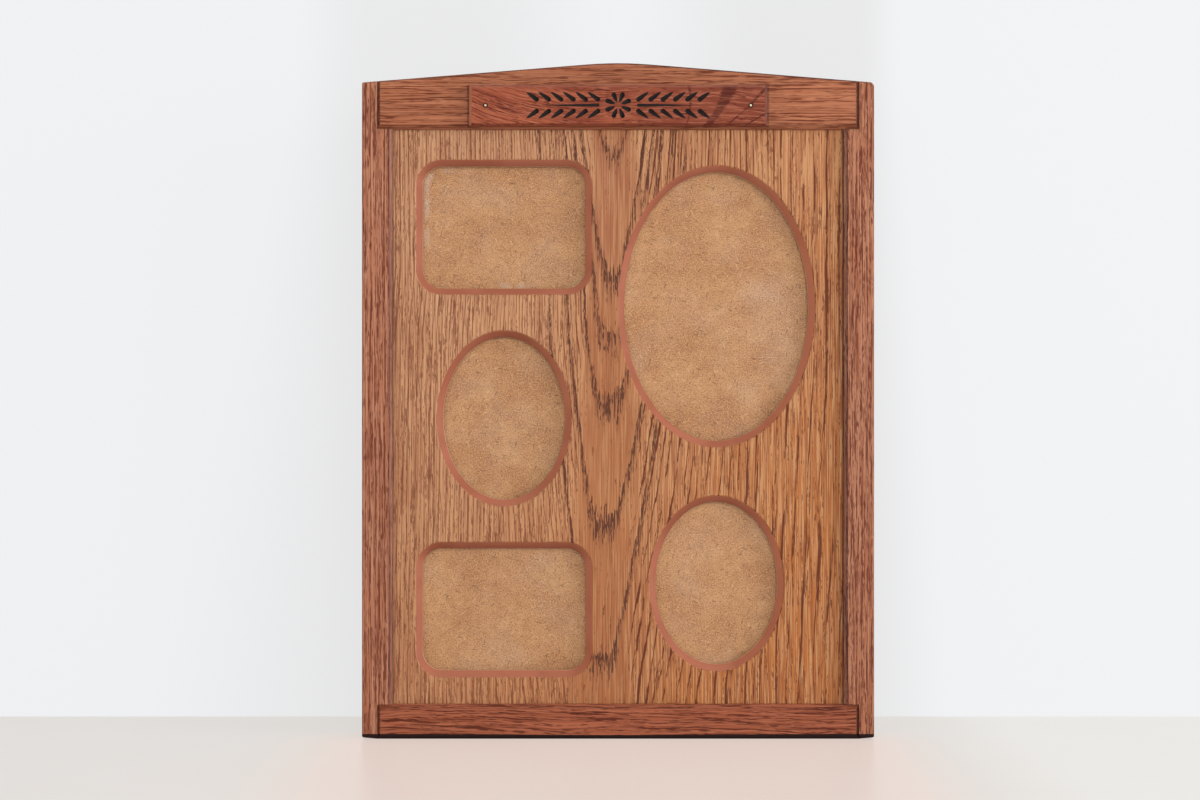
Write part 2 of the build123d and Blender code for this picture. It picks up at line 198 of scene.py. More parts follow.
class Shader:
    """The nodes of one material, with short ways to add to them."""

    def __init__(self, name):
        self.material = bpy.data.materials.new(name)
        self.material.use_nodes = True
        self.tree = self.material.node_tree
        self.tree.nodes.clear()
        self.end = self.tree.nodes.new("ShaderNodeOutputMaterial")
        place = self.add("TexCoord", output="Object")
        place = self.add("VectorMath", {0: place, "Scale": MM}, operation="SCALE")
        facing = self.add("TexCoord", output="Normal")
        self.x, self.y, self.z = self.parts(place)
        self.facing_x, self.facing_y, self.facing_z = self.parts(facing)

    def add(self, kind, inputs=None, output=0, **settings):
        """A new node with these inputs and settings; returns one of its outputs."""
        node = self.tree.nodes.new(f"ShaderNode{kind}")
        for name, value in settings.items():
            setattr(node, name, value)
        for key, value in (inputs or {}).items():
            self.feed(node.inputs[key], value)
        return Field(self, node.outputs[output])

    def feed(self, socket, value):
        if isinstance(value, Field):
            self.tree.links.new(value.socket, socket)
        else:
            socket.default_value = value

    def math(self, operation, first, second=0.0):
        return self.add("Math", {0: first, 1: second}, operation=operation)

    def parts(self, vector):
        node = self.add("SeparateXYZ", {0: vector}).socket.node
        return [Field(self, socket) for socket in node.outputs]

    def rays(self, *kinds):
        """A field for each kind of ray, such as Camera: 1 for rays of that kind, 0 for others."""
        path = self.add("LightPath").socket.node
        return [Field(self, path.outputs[f"Is {kind} Ray"]) for kind in kinds]

    def noise(self, x, y=0.0, z=0.0, detail=1.0, roughness=0.5):
        """Smooth noise about 0.5, with features one unit long."""
        place = self.add("CombineXYZ", {0: x, 1: y, 2: z})
        inputs = {"Vector": place, "Scale": 1.0, "Detail": detail, "Roughness": roughness}
        return self.add("TexNoise", inputs)

    def cells(self, x, y, z=0.0, **settings):
        """Cells one unit wide: the distance from the nearest middle, and a random number for each cell."""
        place = self.add("CombineXYZ", {0: x, 1: y, 2: z})
        distance = self.add("TexVoronoi", {"Vector": place, "Scale": 1.0}, "Distance", **settings)
        random = self.parts(Field(self, distance.socket.node.outputs["Color"]))[0]
        return distance, random

    def pores(self, across, along, depth, width, length, amount):
        """Strokes along the grain, about this wide and long, that follow each other in rows; amount runs
        from 0, hardly any, to 1, packed."""
        rows = self.noise(across / width, depth / width, along / (6 * length))
        breaks = self.noise(across / width + 50, depth / width, along / length)
        return (0.83 * rows + 0.56 * breaks + 0.3 * amount).step(0.88, 0.96)

    def blend(self, share, first, second):
        """From the first colour to the second."""
        node = self.add("Mix", data_type="RGBA", clamp_factor=True).socket.node
        for socket, value in ((node.inputs[0], share), (node.inputs[6], first), (node.inputs[7], second)):
            self.feed(socket, value)
        return Field(self, node.outputs[2])

    def ramp(self, value, stops):
        """Straight runs between stops, given as pairs of place and height with both from 0 to 1."""
        field = self.add("ValToRGB", {0: value})
        elements = field.socket.node.color_ramp.elements
        while len(elements) < len(stops):
            elements.new(0.5)
        for element, (place, height) in zip(elements, sorted(stops)):
            element.position = place
            element.color = (height, height, height, 1.0)
        return field

    def principled(self, colour, roughness, height=None, **constants):
        """A principled surface; height is a relief in millimetres."""
        inputs = {"Base Color": colour, "Roughness": roughness, "Specular IOR Level": SHEEN, **constants}
        if height is not None:
            inputs["Normal"] = self.add("Bump", {"Height": height, "Distance": 1 / MM, "Strength": 1.0})
        return self.add("BsdfPrincipled", inputs)

    def finish(self, surface):
        self.tree.links.new(surface.socket, self.end.inputs["Surface"])
        return self.material


# Wood


def ring_reach(drop):
    """How far from the middle a ring lies where it has risen this far above its turn."""
    return (ARCH_ROUND * drop + ARCH_LEAN * drop * drop) ** 0.5


def flank_lines(shader, from_middle, spread):
    """Dark lines at both sides of the arches, one at the start of each ring: evenly spread on the left, and
    closer in some stretches on the right."""
    x, z = shader.x, shader.z
    left_count = spread * 0.36
    right_count = spread.fit(12, 46, 0, 6) + spread.fit(46, 130, 0, 18) + spread.fit(130, 190, 0, 8)
    right = from_middle.step(-3, 3)
    uneven = shader.noise(spread / 11, detail=1) * 1.2 + shader.noise(x / 9, z / 130, detail=1) * 0.4
    turns = (left_count + right * (right_count - left_count) + uneven).fraction()
    strength = shader.noise(x / 4, z / 60, 5.0, detail=1).fit(0.36, 0.6, 0.55, 1.0)
    return turns.step(0.0, 0.05) * (1 - turns) ** 4 * strength * x.fit(40, 110, 1.2, 0.85)


def cathedral_rings(shader):
    """The veneer's growth rings, each named by how far from the middle it meets the panel's top: that
    distance, how dark the arches and the flanks are, and how far inside the arches a place lies."""
    x, z = shader.x, shader.z
    (low_x, low_z), (high_x, high_z) = ARCH_AXIS
    middle = z.fit(low_z, high_z, low_x, high_x)
    flat_half = z.fit(252, 292, 4.5, 1.8)
    sway = shader.noise(x / 30, z / 90, detail=2) - 0.5
    ragged = shader.noise(x * 0.9, z * 0.1, detail=1) - 0.5
    aside = (abs(x - middle + 4.0 * sway) - flat_half).most(0.0)
    rise = ((ARCH_ROUND ** 2 + 4 * ARCH_LEAN * aside * aside) ** 0.5 - ARCH_ROUND) / (2 * ARCH_LEAN)
    below = (SIGHT_TOP - z + aside.fit(0, 12, 36, 9) * ragged).most(0.0)
    drop = rise + FLANK_DROP + (below - FLANK_DROP) * aside.fit(30, 80, 1.0, 0.1)
    spread = ring_reach(drop) + 2.0 * sway
    inner = [ring_reach(SIGHT_TOP - height) for height in ARCHES]
    reach = inner[-1] + 3.0 * RING_FADE
    profile = ((-0.2, 0.0), (0.0, 1.0), (1.2 * RING_FADE, 0.8), (2.8 * RING_FADE, 0.0))
    stops = [((ring + out) / reach, dark) for ring in inner for out, dark in profile]
    arches = shader.ramp(spread / reach, stops)
    inside = (aside + 6.0 * sway).step(z.fit(60, 366, 19, 14), 8)
    flanks = flank_lines(shader, x - middle, spread) * (1 - inside)
    return spread, arches, flanks, inside


def plain_veneer(shader, fibres, inside, left):
    """The veneer's wood between its pores: palest at the upper left, partly its own tone and partly a painted
    sheen, redder inside the arches, streaked.
    """
    x, y, z = shader.x, shader.y, shader.z
    lines = shader.noise(x * 1.3, y + 80, z * 0.02, detail=2)
    streaks = shader.noise(x * 0.25, y + 60, z * 0.007, detail=2)
    cloud = shader.noise(x / 60, y, z / 110, detail=2)
    # Painted sheen: from pale and grey at the upper left to warm at the lower right, partly the veneer's own
    # tone
    sheen_to_warmth = (x - 0.5 * z).fit(-275, 40, 0.0, 1.0)
    inside_tone = shader.blend(z.step(220, 330), srgb(170, 106, 64), srgb(156, 92, 61))
    colour = shader.blend(sheen_to_warmth, srgb(210, 160, 122), srgb(182, 110, 55))
    colour = shader.blend(inside * 0.75, colour, inside_tone)
    colour = shader.blend(cloud.step(0.42, 0.72) * 0.4, colour, srgb(164, 100, 64))
    colour = shader.blend(streaks.step(0.4, 0.7) * 0.3, colour, srgb(156, 92, 58))
    line_share = 0.6 - 0.1 * inside - 0.15 * left
    colour = shader.blend(lines.step(0.46, 0.6) * line_share, colour, srgb(138, 74, 44))
    fibre_share = 0.65 - 0.25 * inside - 0.15 * left
    return shader.blend(fibres.step(0.46, 0.62) * fibre_share, colour, srgb(212, 162, 114))


def oak_veneer():
    """Flat-cut veneer: plain wood with fine long lines, and rings made of slender pores."""
    shader = Shader("oak_veneer")
    x, y, z = shader.x, shader.y, shader.z
    spread, arches, flanks, inside = cathedral_rings(shader)
    left = x.step(5, -45)
    arch_pores = shader.pores(x, z, y, 0.65, 4.0, 1.15 * arches - 0.2)
    flank_pores = shader.pores(spread, z, y, 0.7, 9.0, 2.0 * flanks - 0.15 - inside)
    thin_pores = shader.pores(x + 40, z, y, 0.7, 3.0, 0.3 + 0.15 * left - 0.3 * inside)
    fibres = shader.noise(x * 1.4, y, z * 0.03, detail=2)
    pore_tone = shader.blend(left, srgb(100, 45, 26), srgb(118, 63, 42))
    colour = plain_veneer(shader, fibres, inside, left)
    colour = shader.blend(arches.most(flanks) * 0.3, colour, srgb(132, 72, 48))
    colour = shader.blend(thin_pores * 0.7, colour, pore_tone)
    colour = shader.blend(flank_pores * (0.92 - 0.25 * left), colour, pore_tone)
    colour = shader.blend(arch_pores * 0.92, colour, srgb(88, 50, 37))
    sunk = arch_pores.most(flank_pores).most(thin_pores * 0.6)
    roughness = 0.46 + 0.2 * sunk
    height = fibres * 0.02 - sunk * 0.06
    return shader.finish(shader.principled(colour, roughness, height))


def facings(shader):
    """How far a surface slopes sideways, faces down and faces the front, each from 0 to 1."""
    sideways = abs(shader.facing_x)
    slope = sideways.step(0.45, 0.6) * sideways.step(0.95, 0.8)
    downward = (-1 * shader.facing_z).step(0.45, 0.6)
    in_front = (-1 * shader.facing_y).step(0.5, 0.7)
    return slope, downward, in_front


def stile_edges(shader, colour, slope):
    """Darkens a stile's sight chamfer, partly as darker stain and partly as a painted grey sheen and shade.
    Also returns how dark its brinks, ends and joints are: painted shade along the chamfer's edges, dark
    joints elsewhere.
    """
    x, z = shader.x, shader.z
    side = abs(x)
    lip = side.step(REBATE_X + 0.4, REBATE_X - 0.4)
    # Sight chamfer: darker stain, with a painted grey sheen and shade
    colour = shader.blend(slope * lip * 0.3, colour, srgb(104, 76, 74))
    # Painted shade: dark lines along both edges of the sight chamfer, stronger on the right stile
    brink_shade = side.near(SIGHT_X + SIGHT_CHAMFER, 0.5).most(side.near(SIGHT_X, 0.6))
    end = z.near(SIGHT_FOOT, 0.7).most(z.near(SIGHT_TOP, 0.7))
    dirt_and_shade = (brink_shade * x.fit(-20, 20, 0.6, 0.9)).most(end * lip * x.fit(-20, 20, 0.4, 0.75))
    at_rails = z.step(SIGHT_FOOT + 0.4, SIGHT_FOOT - 0.4).most(z.step(SIGHT_TOP - 0.4, SIGHT_TOP + 0.4))
    return colour, dirt_and_shade.most(side.near(REBATE_X, 0.5) * at_rails * 0.5)


def rail_edges(shader, colour, slope, downward, in_front):
    """Darkens a rail's chamfers and crest: the end chamfers by darker end grain and by painted shade and grey
    sheen, the chamfer facing down and the crest by painted shade, and the middle of the top rail round the
    plaque. Also returns how dark its brinks and joints are, and a painted shadow beside the plaque."""
    x, z = shader.x, shader.z
    side = abs(x)
    at_top = z.step(SIGHT_TOP - 1, SIGHT_TOP)
    # End chamfers: darker end grain, with painted shade and grey sheen, stronger on the right
    colour = shader.blend(slope * x.fit(-20, 20, 0.35, 0.5), colour, srgb(70, 46, 44))
    # Painted shade on the top rail's chamfer that faces down
    colour = shader.blend(downward * at_top * 0.3, colour, srgb(104, 52, 34))
    round_plaque = side.step(120, 80) * at_top
    colour = shader.blend(round_plaque * 0.12, colour, srgb(92, 40, 24))
    # Painted shade along the top rail's crest, stronger on the right
    upward = shader.facing_z.step(0.3, 0.5) * shader.facing_z.step(0.98, 0.92)
    crest = upward * z.step(SIGHT_TOP, SIGHT_TOP + 9)
    colour = shader.blend(crest * x.fit(-60, 40, 0.35, 0.8), colour, srgb(72, 38, 28))
    dirt_and_shade = (side.near(REBATE_X, 0.7) * 0.4).most(z.near(SIGHT_TOP + SIGHT_CHAMFER, 0.5) * 0.5)
    dirt_and_shade = dirt_and_shade.most(z.near(SIGHT_FOOT - SIGHT_CHAMFER, 0.5) * 0.3)
    # Painted shadow: a dark line on the top rail beside each end of the plaque
    at_plaque = z.step(PLAQUE_LOW.z - 1, PLAQUE_LOW.z) * z.step(PLAQUE_HIGH.z + 1, PLAQUE_HIGH.z)
    plaque_shadow = side.near(PLAQUE_HIGH.x + 0.5, 1.5) * at_plaque * in_front
    return colour, dirt_and_shade.most(plaque_shadow * 0.6)


def eased_edges(shader, colour, upright):
    """Darkens a member's chamfers, joints and foot: dark joints, painted shade along chamfers and brinks, and
    a painted shadow under the foot.
    """
    x, z = shader.x, shader.z
    slope, downward, in_front = facings(shader)
    if upright:
        colour, dirt_and_shade = stile_edges(shader, colour, slope)
    else:
        colour, dirt_and_shade = rail_edges(shader, colour, slope, downward, in_front)
    # Dark joints and painted shade, in blotches
    blotchy = shader.noise(x / 2.5, z / 2.5, detail=2).fit(0.35, 0.6, 0.6, 1.0)
    colour = shader.blend(dirt_and_shade * blotchy * 0.85, colour, srgb(44, 25, 21))
    # Painted shadow: the foot's chamfer and the lowest strip of the front are painted near black
    foot_shadow_line = FOOT_CHAMFER + abs(x).fit(10, 120, 0.0, 0.7)
    foot = downward.most(in_front) * z.step(foot_shadow_line + 0.3, foot_shadow_line - 0.1)
    return shader.blend(foot, colour, srgb(38, 13, 8))


def stained_oak(name, upright, seed, tones, spacing, sway_reach, pore_length, density, slant):
    """Straight-grained oak with dark stained pores; upright says which way the grain runs.

    tones are the plain, light and pore colours, spacing is the usual width of a growth ring, sway_reach is
    how far the grain wanders, pore_length is that of the longer pores, density is how closely they lie, and
    slant is how steeply they cross the rings.
    """
    shader = Shader(name)
    along, across = (shader.z, shader.x) if upright else (shader.x, shader.z)
    depth = shader.y
    along = along + MEMBER_STEP * seed
    plain_tone, light_tone, pore_tone = (srgb(*tone) for tone in tones)
    sway = shader.noise(along / 60, across / 30, depth / 30, detail=2) - 0.5
    drift = across + 0.45 * depth + sway_reach * sway
    uneven = shader.noise(drift / 14, seed) * 2.0 + shader.noise(drift / 5, along / 60) * 0.5
    rings = (drift / spacing + uneven).fraction() ** 3
    amount = density * (0.5 + 0.7 * rings)
    pores = shader.pores(drift + slant * along, along, depth, 0.85, pore_length, amount)
    thin_pores = shader.pores(drift + 30, along, depth, 0.7, 0.6 * pore_length, density * 0.6)
    fibres = shader.noise(drift * 1.2, depth * 1.2, along * 0.03, detail=2)
    lines = shader.noise(drift * 1.2 + 70, depth * 1.2, along * 0.018, detail=2)
    streaks = shader.noise(drift * 0.33, depth * 0.33, along * 0.006, detail=2)
    colour = shader.blend(streaks.step(0.35, 0.68) * 0.3, plain_tone, light_tone)
    colour = shader.blend(lines.step(0.46, 0.6) * 0.35, colour, pore_tone)
    colour = shader.blend(fibres.step(0.46, 0.62) * 0.5, colour, light_tone)
    colour = shader.blend(rings * 0.15, colour, pore_tone)
    colour = shader.blend(thin_pores * 0.55, colour, pore_tone)
    colour = shader.blend(pores * 0.85, colour, pore_tone)
    colour = eased_edges(shader, colour, upright)
    sunk = pores.most(thin_pores * 0.6)
    roughness = 0.44 + 0.22 * sunk
    height = fibres * 0.03 - sunk * 0.08
    return shader.finish(shader.principled(colour, roughness, height))


def plaque_rings(shader, x, z):
    """Dark growth rings that sweep down and to the left over the plaque's right end."""
    below = PLAQUE_HIGH.z - PLAQUE_Z - PLAQUE_RIM - z
    sway = shader.noise(x / 12, z / 9, detail=2) - 0.5
    level = (x - 1.08 * below + 0.0125 * below * below) / (1 - 0.02 * below) + 3.0 * sway
    rings = level.near(69, 6.0)
    for place, reach in ((91, 1.6), (113, 2.0), (44, 1.2)):
        rings = rings.most(level.near(place, reach))
    return rings * x.step(18, 30)


def plaque_face(x, z):
    """1 on the plaque's flat front, 0 on the chamfers round it."""
    half_length = PLAQUE_HIGH.x - PLAQUE_RIM
    half_height = (PLAQUE_HIGH.z - PLAQUE_LOW.z) / 2 - PLAQUE_RIM
    return abs(x).step(half_length + 0.1, half_length) * abs(z).step(half_height + 0.1, half_height)


def plaque_chamfers(shader, colour, face):
    """Paints each chamfer round the plaque by the way it faces: a painted grey sheen and shade on the right,
    painted light on the left and the top, and painted shade on the foot.
    """
    for facing, share, tone in (
        (shader.facing_x, 0.45, (112, 70, 66)),
        (-1 * shader.facing_x, 0.6, (208, 132, 98)),
        (shader.facing_z, 0.3, (176, 112, 92)),
        (-1 * shader.facing_z, 0.5, (92, 32, 18)),
    ):
        colour = shader.blend(facing.step(0.3, 0.6) * (1 - face) * share, colour, srgb(*tone))
    return colour


def plaque_wood():
    """Redder wood with slanting pores, and the cut strokes burnt black."""
    shader = Shader("plaque_wood")
    x, y = shader.x, shader.y
    z = shader.z - PLAQUE_Z
    sway = shader.noise(x / 25, y, z / 12, detail=2) - 0.5
    across = z + x.fit(-95, 20, 0.34, 0.06) * (x + 60) + 4.0 * sway
    rings = plaque_rings(shader, x, z)
    bands = (across / 4.0 + shader.noise(across / 9) * 1.5).fraction() ** 2 * x.step(40, 0)
    pores = shader.pores(across, x, y, 0.8, 5.0, 0.3 + 0.5 * rings.most(bands * 0.6))
    fibres = shader.noise(x * 0.07, y, across * 1.1, detail=2)
    painted_gleam = shader.noise(x * 0.09, y + 30, across * 1.2, detail=2)
    cloud = shader.noise(x / 26, y, across / 7, detail=2)
    colour = shader.blend(cloud.step(0.35, 0.7), srgb(168, 88, 58), srgb(140, 66, 42))
    colour = shader.blend(x.fit(-40, 60, 0.0, 0.65), colour, srgb(110, 48, 30))
    colour = shader.blend(fibres.step(0.45, 0.6) * 0.55, colour, srgb(112, 42, 22))
    # Painted highlights: paler, greyer streaks along the fibres
    colour = shader.blend(painted_gleam.step(0.5, 0.66) * 0.45, colour, srgb(190, 116, 88))
    colour = shader.blend(rings * 0.5, colour, srgb(80, 36, 26))
    colour = shader.blend(pores * 0.8, colour, srgb(82, 25, 9))
    face = plaque_face(x, z)
    colour = plaque_chamfers(shader, colour, face)
    burnt = (y - PLAQUE_LOW.y).step(0.03, 0.22) * face
    soot = shader.noise(x * 1.2, y, z * 1.2, detail=3)
    char = shader.blend(soot.step(0.3, 0.7), srgb(18, 15, 15), srgb(40, 31, 29))
    colour = shader.blend(burnt, colour, char)
    roughness = 0.44 + 0.3 * burnt.most(pores * 0.5)
    height = fibres * 0.02 - pores * 0.05 + burnt * soot * 0.12
    return shader.finish(shader.principled(colour, roughness, height))


def panel_core():
    """Dense fibre board: the bevels of the windows are cut smooth and stained, and it is raw behind them.
    Painted shade darkens the bevels that face down, most at their inner edges, and those that face right;
    painted light brightens those that face left.
    """
    shader = Shader("panel_core")
    x, y, z = shader.x, shader.y, shader.z
    specks = shader.noise(x * 2.2, y * 2.2, z * 2.2, detail=2)
    cloud = shader.noise(x / 26, y / 26, z / 26, detail=2)
    layers = shader.noise(x / 60, y * 3.2, z / 60, detail=1)
    inward = (y - PANEL_Y) / WINDOW_BEVEL
    colour = shader.blend(cloud.step(0.35, 0.7), srgb(182, 110, 84), srgb(168, 97, 71))
    colour = shader.blend(specks.step(0.5, 0.75) * 0.3, colour, srgb(136, 72, 52))
    colour = shader.blend(layers.step(0.5, 0.72) * 0.25, colour, srgb(196, 128, 100))
    # Painted shade on the bevels that face down, deepest at their inner edges
    downward_shade = (-1 * shader.facing_z).step(0.1, 0.6) * inward.fit(0.0, 1.0, 0.16, 0.45)
    colour = shader.blend(downward_shade, colour, srgb(100, 44, 24))
    # Painted shade on the bevels that face right, and painted light on those that face left
    colour = shader.blend(shader.facing_x.step(0.1, 0.6) * 0.15, colour, srgb(128, 66, 46))
    colour = shader.blend((-1 * shader.facing_x).step(0.1, 0.6) * 0.2, colour, srgb(206, 124, 90))
    colour = shader.blend(inward.step(1.02, 1.06), colour, srgb(228, 198, 160))
    height = specks * 0.02 + layers * 0.02
    return shader.finish(shader.principled(colour, 0.5 + 0.1 * specks, height))


# Boards, glass and metal


def hardboard_strands(shader, turn, seed):
    """A few short fibres that lie about one direction."""
    bend = 3.0 * (shader.noise(shader.x / 9, shader.z / 9, seed) - 0.5)
    across = shader.x * math.cos(turn) - shader.z * math.sin(turn) + bend
    along = shader.x * math.sin(turn) + shader.z * math.cos(turn) + 50 * seed
    distance, random = shader.cells(across / 2.2, along / 12.0, voronoi_dimensions="2D")
    return distance.step(0.17, 0.1) * random.step(0.86, 0.9)


def hardboard():
    """Pressed fibre board: smooth and cloudy in front, marked by the wire screen behind."""
    shader = Shader("hardboard")
    x, y, z = shader.x, shader.y, shader.z
    back = y.step(BACKING_MIDDLE_Y - 0.1, BACKING_MIDDLE_Y + 0.1)
    specks = shader.noise(x * 1.3, z * 0.6, detail=2, roughness=0.7)
    specks = specks.most(shader.noise(x * 0.6, z * 1.3, 40.0, detail=2, roughness=0.7))
    grit = shader.noise(x * 1.1, z * 1.1, 20.0, detail=2, roughness=0.7)
    cloud = shader.noise(x / 26, z / 26, 7.0, detail=3)
    mottle = shader.noise(x / 6, z / 6, 31.0, detail=3)
    dark_strands = hardboard_strands(shader, 0.3, 11.0).most(hardboard_strands(shader, 1.9, 17.0))
    pale_strands = hardboard_strands(shader, 1.1, 23.0).most(hardboard_strands(shader, 2.6, 29.0))
    # Painted light: the front is paler towards the foot
    pale = (cloud + z.fit(40, 160, 0.06, 0.0)).step(0.32, 0.7)
    colour = shader.blend(pale, srgb(178, 125, 83), srgb(199, 149, 103))
    colour = shader.blend(mottle.step(0.42, 0.66) * 0.3, colour, srgb(150, 98, 60))
    colour = shader.blend(specks.step(0.52, 0.7) * 0.85, colour, srgb(134, 84, 50))
    colour = shader.blend(grit.step(0.48, 0.66) * 0.7, colour, srgb(216, 168, 120))
    colour = shader.blend(pale_strands * 0.5, colour, srgb(220, 178, 132))
    colour = shader.blend(dark_strands * 0.5, colour, srgb(90, 54, 36))
    screen = (x * 4.2).wave() * (z * 4.2).wave()
    colour = shader.blend(back * screen.step(-0.6, 0.6) * 0.55, colour, srgb(120, 84, 58))
    height = specks * 0.03 + back * screen * 0.12
    return shader.finish(shader.principled(colour, 0.62 + 0.12 * specks, height))


def rub_marks(shader):
    """Pale marks on the glass, just inside the upper left window's edge: along its left side and its foot."""
    middle_x, middle_z = UPPER_WINDOW_PLACE
    across = shader.x - middle_x
    upward = shader.z - middle_z
    beyond = []
    for away, size in zip((across, upward), UPPER_WINDOW_SIZE):
        beyond.append((abs(away) - (size / 2 - UPPER_WINDOW_CORNER)).most(0.0))
    inward = UPPER_WINDOW_CORNER - (beyond[0] ** 2.0 + beyond[1] ** 2.0) ** 0.5
    patchy = shader.noise(shader.x / 9, shader.z / 9, detail=2).step(0.34, 0.66)
    left_side = across.step(-18, -42) * upward.step(-22, 0)
    foot = upward.step(-30, -35) * across.near(6, 16)
    return inward.near(2.4, 2.6) * left_side.most(foot) * patchy


def clear_glass():
    """A thin pane: most light goes straight through it, a little dust lies on it, and a pale patch on it is a
    painted reflection.
    """
    shader = Shader("clear_glass")
    x, z = shader.x, shader.z
    haze = shader.noise(x / 30, z / 30, detail=3).step(0.42, 0.8)
    specks = shader.noise(x * 1.1, z * 1.1, detail=1).step(0.78, 0.84)
    # Painted reflection: a soft pale patch
    away = ((x - REFLECTION_PATCH_PLACE[0]) ** 2.0 + ((z - REFLECTION_PATCH_PLACE[1]) * 0.7) ** 2.0) ** 0.5
    pane_reflection = away.step(30, 4) * haze.fit(0.0, 0.5, 0.5, 1.0)
    marks = 0.14 * haze + 0.3 * specks + 0.2 * pane_reflection + 0.45 * rub_marks(shader)
    pane = {"Transmission Weight": 1.0, "IOR": 1.5, "Specular IOR Level": 0.5}
    glass = shader.principled((0.97, 0.99, 0.98, 1.0), 0.0, **pane)
    dust = shader.add("BsdfDiffuse", {"Color": srgb(235, 228, 220)})
    dusty = shader.add("MixShader", {0: marks, 1: glass, 2: dust})
    clear = shader.add("BsdfTransparent")
    shadow, soft, seen = shader.rays("Shadow", "Diffuse", "Camera")
    straight = shadow.most(soft).most(GLASS_CLEARNESS * seen)
    return shader.finish(shader.add("MixShader", {0: straight, 1: dusty, 2: clear}))


def metal(name, tone, worn_tone, roughness):
    """A metal with cloudy tarnish and fine scratches."""
    shader = Shader(name)
    x, y, z = shader.x, shader.y, shader.z
    cloud = shader.noise(x * 0.5, y * 0.5, z * 0.5, detail=3)
    spangle = shader.cells(x * 0.55, y * 0.55, z * 0.55)[1]
    scratches = shader.noise(x * 5.0, y * 5.0, z * 0.5, detail=2)
    colour = shader.blend(cloud.step(0.35, 0.7), srgb(*tone), srgb(*worn_tone))
    colour = shader.blend(spangle * 0.18, colour, srgb(*worn_tone))
    return shader.finish(shader.principled(colour, roughness + 0.2 * cloud, scratches * 0.02, Metallic=1.0))


def brass_pins():
    """Small round heads with a painted highlight in the middle, dark round the rim."""
    shader = Shader("brass_pins")
    low, high = (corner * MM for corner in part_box("plaque_pins"))
    radius = (high.z - low.z) / 2
    sideways = abs(shader.x - (low.x + high.x) / 2) - ((high.x - low.x) / 2 - radius)
    upward = shader.z - (low.z + high.z) / 2
    outward = (sideways * sideways + upward * upward) ** 0.5 / radius
    scratches = shader.noise(shader.x * 5.0, shader.y * 5.0, shader.z * 1.5, detail=2)
    # Painted highlight: a near white middle, going dark towards the rim
    colour = shader.blend(scratches.step(0.35, 0.7) * 0.4, srgb(255, 240, 200), srgb(214, 174, 100))
    colour = shader.blend(outward.step(0.45, 0.8), colour, srgb(58, 26, 10))
    polish = {"Metallic": 0.4, "Specular IOR Level": 0.6}
    return shader.finish(shader.principled(colour, 0.25 + 0.2 * scratches, scratches * 0.01, **polish))


# Stage, light and camera


def stage_plane(name, corners, material):
    """A flat piece of the stage, which isn't part of the object."""
    mesh = bpy.data.meshes.new(name)
    mesh.from_pydata(corners, [], [range(len(corners))])
    mesh.materials.append(material)
    plane = bpy.data.objects.new(name, mesh)
    bpy.context.scene.collection.objects.link(plane)


def floor_material():
    """A pale, half-glossy table top that shows some of its tone by itself, with a painted warm reflection of
    the frame in front of it, and painted light that makes it brighter on the right."""
    shader = Shader("floor")
    x, y = shader.x, shader.y
    marks = shader.noise(x / 60, y / 60, detail=3)
    top = shader.principled(srgb(*FLOOR_TONE), 0.26 + 0.12 * marks, **{"Specular IOR Level": FLOOR_GLOSS})
    frame_reflection = x.step(*REFLECTION_LEFT) * x.step(*REFLECTION_RIGHT) * y.step(*REFLECTION_BACK) * y.step(*REFLECTION_FRONT)
    # Painted light on the table's right side, and a painted reflection of the frame in front of it
    tone = shader.blend(x.step(180, 260), srgb(*FLOOR_TONE), srgb(*FLOOR_LIT_RIGHT_TONE))
    tone = shader.blend(frame_reflection, tone, srgb(*FLOOR_REFLECTION_TONE))
    glow = shader.add("Emission", {"Color": tone, "Strength": 1.0})
    seen = shader.rays("Camera")[0]
    return shader.finish(shader.add("MixShader", {0: seen * FLOOR_GLOW, 1: top, 2: glow}))


def wall_material():
    """A plain wall that shows most of its tone by itself, a little darker beside the frame. It is there only
    for who looks at its front, so light reaches the frame from behind too."""
    shader = Shader("wall")
    x, z = shader.x, shader.z
    shade = 0.0
    for foot_end, top_end, full, depth in WALL_SHADES:
        end = z.fit(0, WALL_SHADE_TOP, foot_end, top_end)
        on_this_side = x.step(0, math.copysign(100, full))
        shade = shade + x.step(end, full) * depth * on_this_side
    tone = shader.blend(shade, srgb(*WALL_TONE), srgb(*WALL_SHADE_TONE))
    paint = shader.add("BsdfDiffuse", {"Color": srgb(*WALL_TONE)})
    glow = shader.add("Emission", {"Color": tone, "Strength": 1.0})
    front = shader.add("MixShader", {0: WALL_GLOW, 1: paint, 2: glow})
    nothing = shader.add("BsdfTransparent")
    seen, mirrored, through = shader.rays("Camera", "Glossy", "Transmission")
    behind = shader.add("NewGeometry", output="Backfacing")
    solid = seen.most(mirrored).most(through) * (1 - behind)
    return shader.finish(shader.add("MixShader", {0: solid, 1: nothing, 2: front}))


def build_stage():
    far, back = STAGE_REACH, WALL_Y
    floor = [(-far, -far, 0), (far, -far, 0), (far, far, 0), (-far, far, 0)]
    wall = [(-far, back, 0), (far, back, 0), (far, back, far), (-far, back, far)]
    stage_plane("floor", floor, floor_material())
    stage_plane("wall", wall, wall_material())


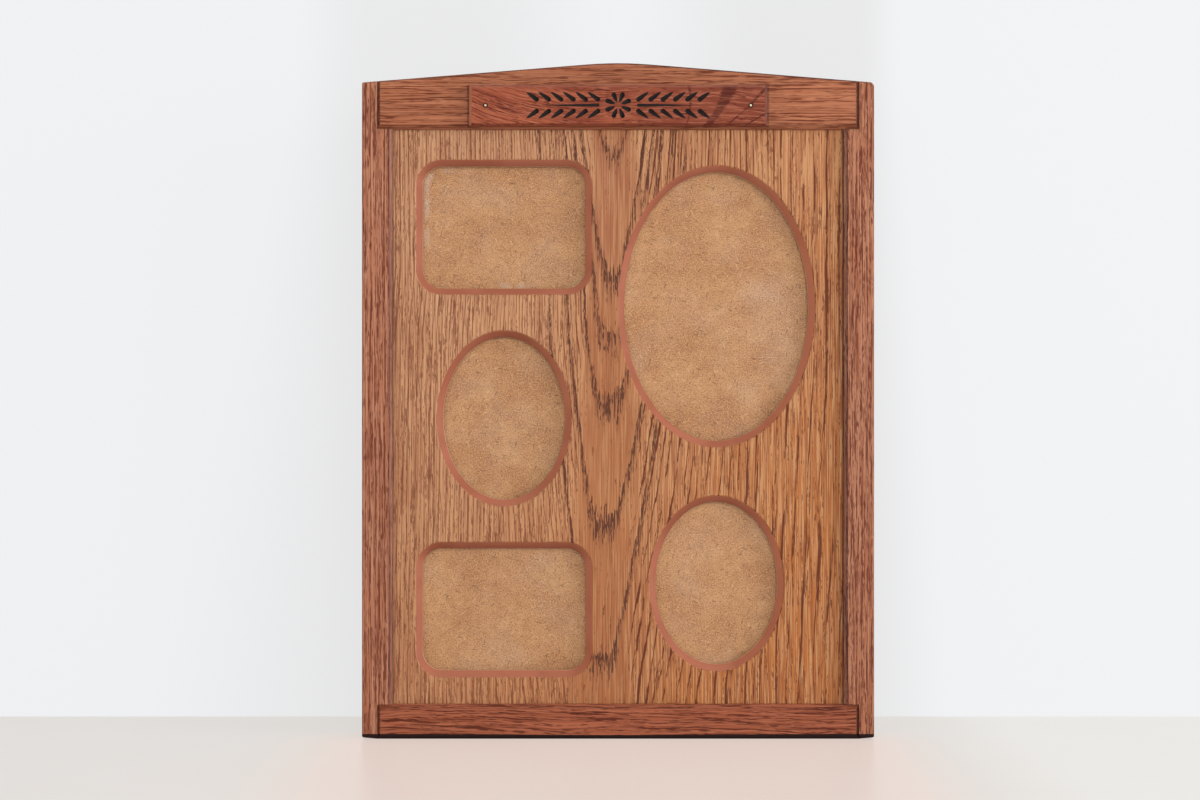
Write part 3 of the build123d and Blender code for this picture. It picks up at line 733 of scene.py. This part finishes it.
def build_world():
    """Even light from all sides; seen directly or through the glass it is as pale as the wall."""
    world = bpy.data.worlds.new("studio")
    bpy.context.scene.world = world
    world.use_nodes = True
    tree = world.node_tree
    tree.nodes.clear()
    path = tree.nodes.new("ShaderNodeLightPath")
    seen = tree.nodes.new("ShaderNodeMath")
    seen.operation = "MAXIMUM"
    for number, kind in enumerate(("Camera", "Transmission")):
        tree.links.new(path.outputs[f"Is {kind} Ray"], seen.inputs[number])
    mix = tree.nodes.new("ShaderNodeMixShader")
    tree.links.new(seen.outputs[0], mix.inputs[0])
    for socket, tone, strength in ((1, WORLD_TONE, WORLD_STRENGTH), (2, WALL_TONE, 1.0)):
        background = tree.nodes.new("ShaderNodeBackground")
        background.inputs["Color"].default_value = srgb(*tone)
        background.inputs["Strength"].default_value = strength
        tree.links.new(background.outputs[0], mix.inputs[socket])
    end = tree.nodes.new("ShaderNodeOutputWorld")
    tree.links.new(mix.outputs[0], end.inputs["Surface"])


def aim(thing, place, target):
    """Puts a lamp or camera at place and points it at target."""
    thing.location = place
    thing.rotation_euler = (Vector(target) - Vector(place)).to_track_quat("-Z", "Y").to_euler()


def build_lamps():
    """A soft key from the front, a window on the right, a weak fill from the left and a light from above.
    None is seen itself, directly or through the glass."""
    for name, (place, width, power, mirrored) in LAMPS.items():
        data = bpy.data.lights.new(name, "AREA")
        data.shape = "RECTANGLE"
        data.size = width
        data.size_y = min(width, 2 * (place[2] - LAMP_CLEARANCE))
        data.energy = power
        lamp = bpy.data.objects.new(name, data)
        lamp.visible_camera = False
        lamp.visible_transmission = False
        lamp.visible_glossy = mirrored
        bpy.context.scene.collection.objects.link(lamp)
        aim(lamp, place, LAMP_TARGET)


def build_camera():
    data = bpy.data.cameras.new("camera")
    data.sensor_fit = "HORIZONTAL"
    data.sensor_width = CAMERA_SENSOR
    data.lens = CAMERA_LENS
    camera = bpy.data.objects.new("camera", data)
    bpy.context.scene.collection.objects.link(camera)
    aim(camera, CAMERA_PLACE, (CAMERA_PLACE[0], 0.0, CAMERA_PLACE[2]))
    bpy.context.scene.camera = camera


def dress(material, *nodes):
    """Gives pieces of the frame a material."""
    for node in nodes:
        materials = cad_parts[node].data.materials
        materials.clear()
        materials.append(material)


def dress_all():
    for member, looks in MEMBERS.items():
        dress(stained_oak(f"oak_{member}", **looks), member)
    dress(oak_veneer(), "panel_veneer")
    dress(panel_core(), "panel_core")
    dress(clear_glass(), "glass_pane")
    dress(hardboard(), "backing_board")
    dress(plaque_wood(), "plaque")
    dress(brass_pins(), "plaque_pins")
    dress(metal("steel", (150, 146, 142), (104, 98, 94), 0.38), "corner_brads", "hanger_nails")
    buttons = [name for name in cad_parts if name.startswith("turn_button")]
    dress(metal("zinc_plate", (196, 200, 206), (160, 164, 172), 0.3), "hanger_plate", *buttons)


bpy.context.scene.view_settings.view_transform = "Standard"
dress_all()
build_stage()
build_world()
build_lamps()
build_camera()
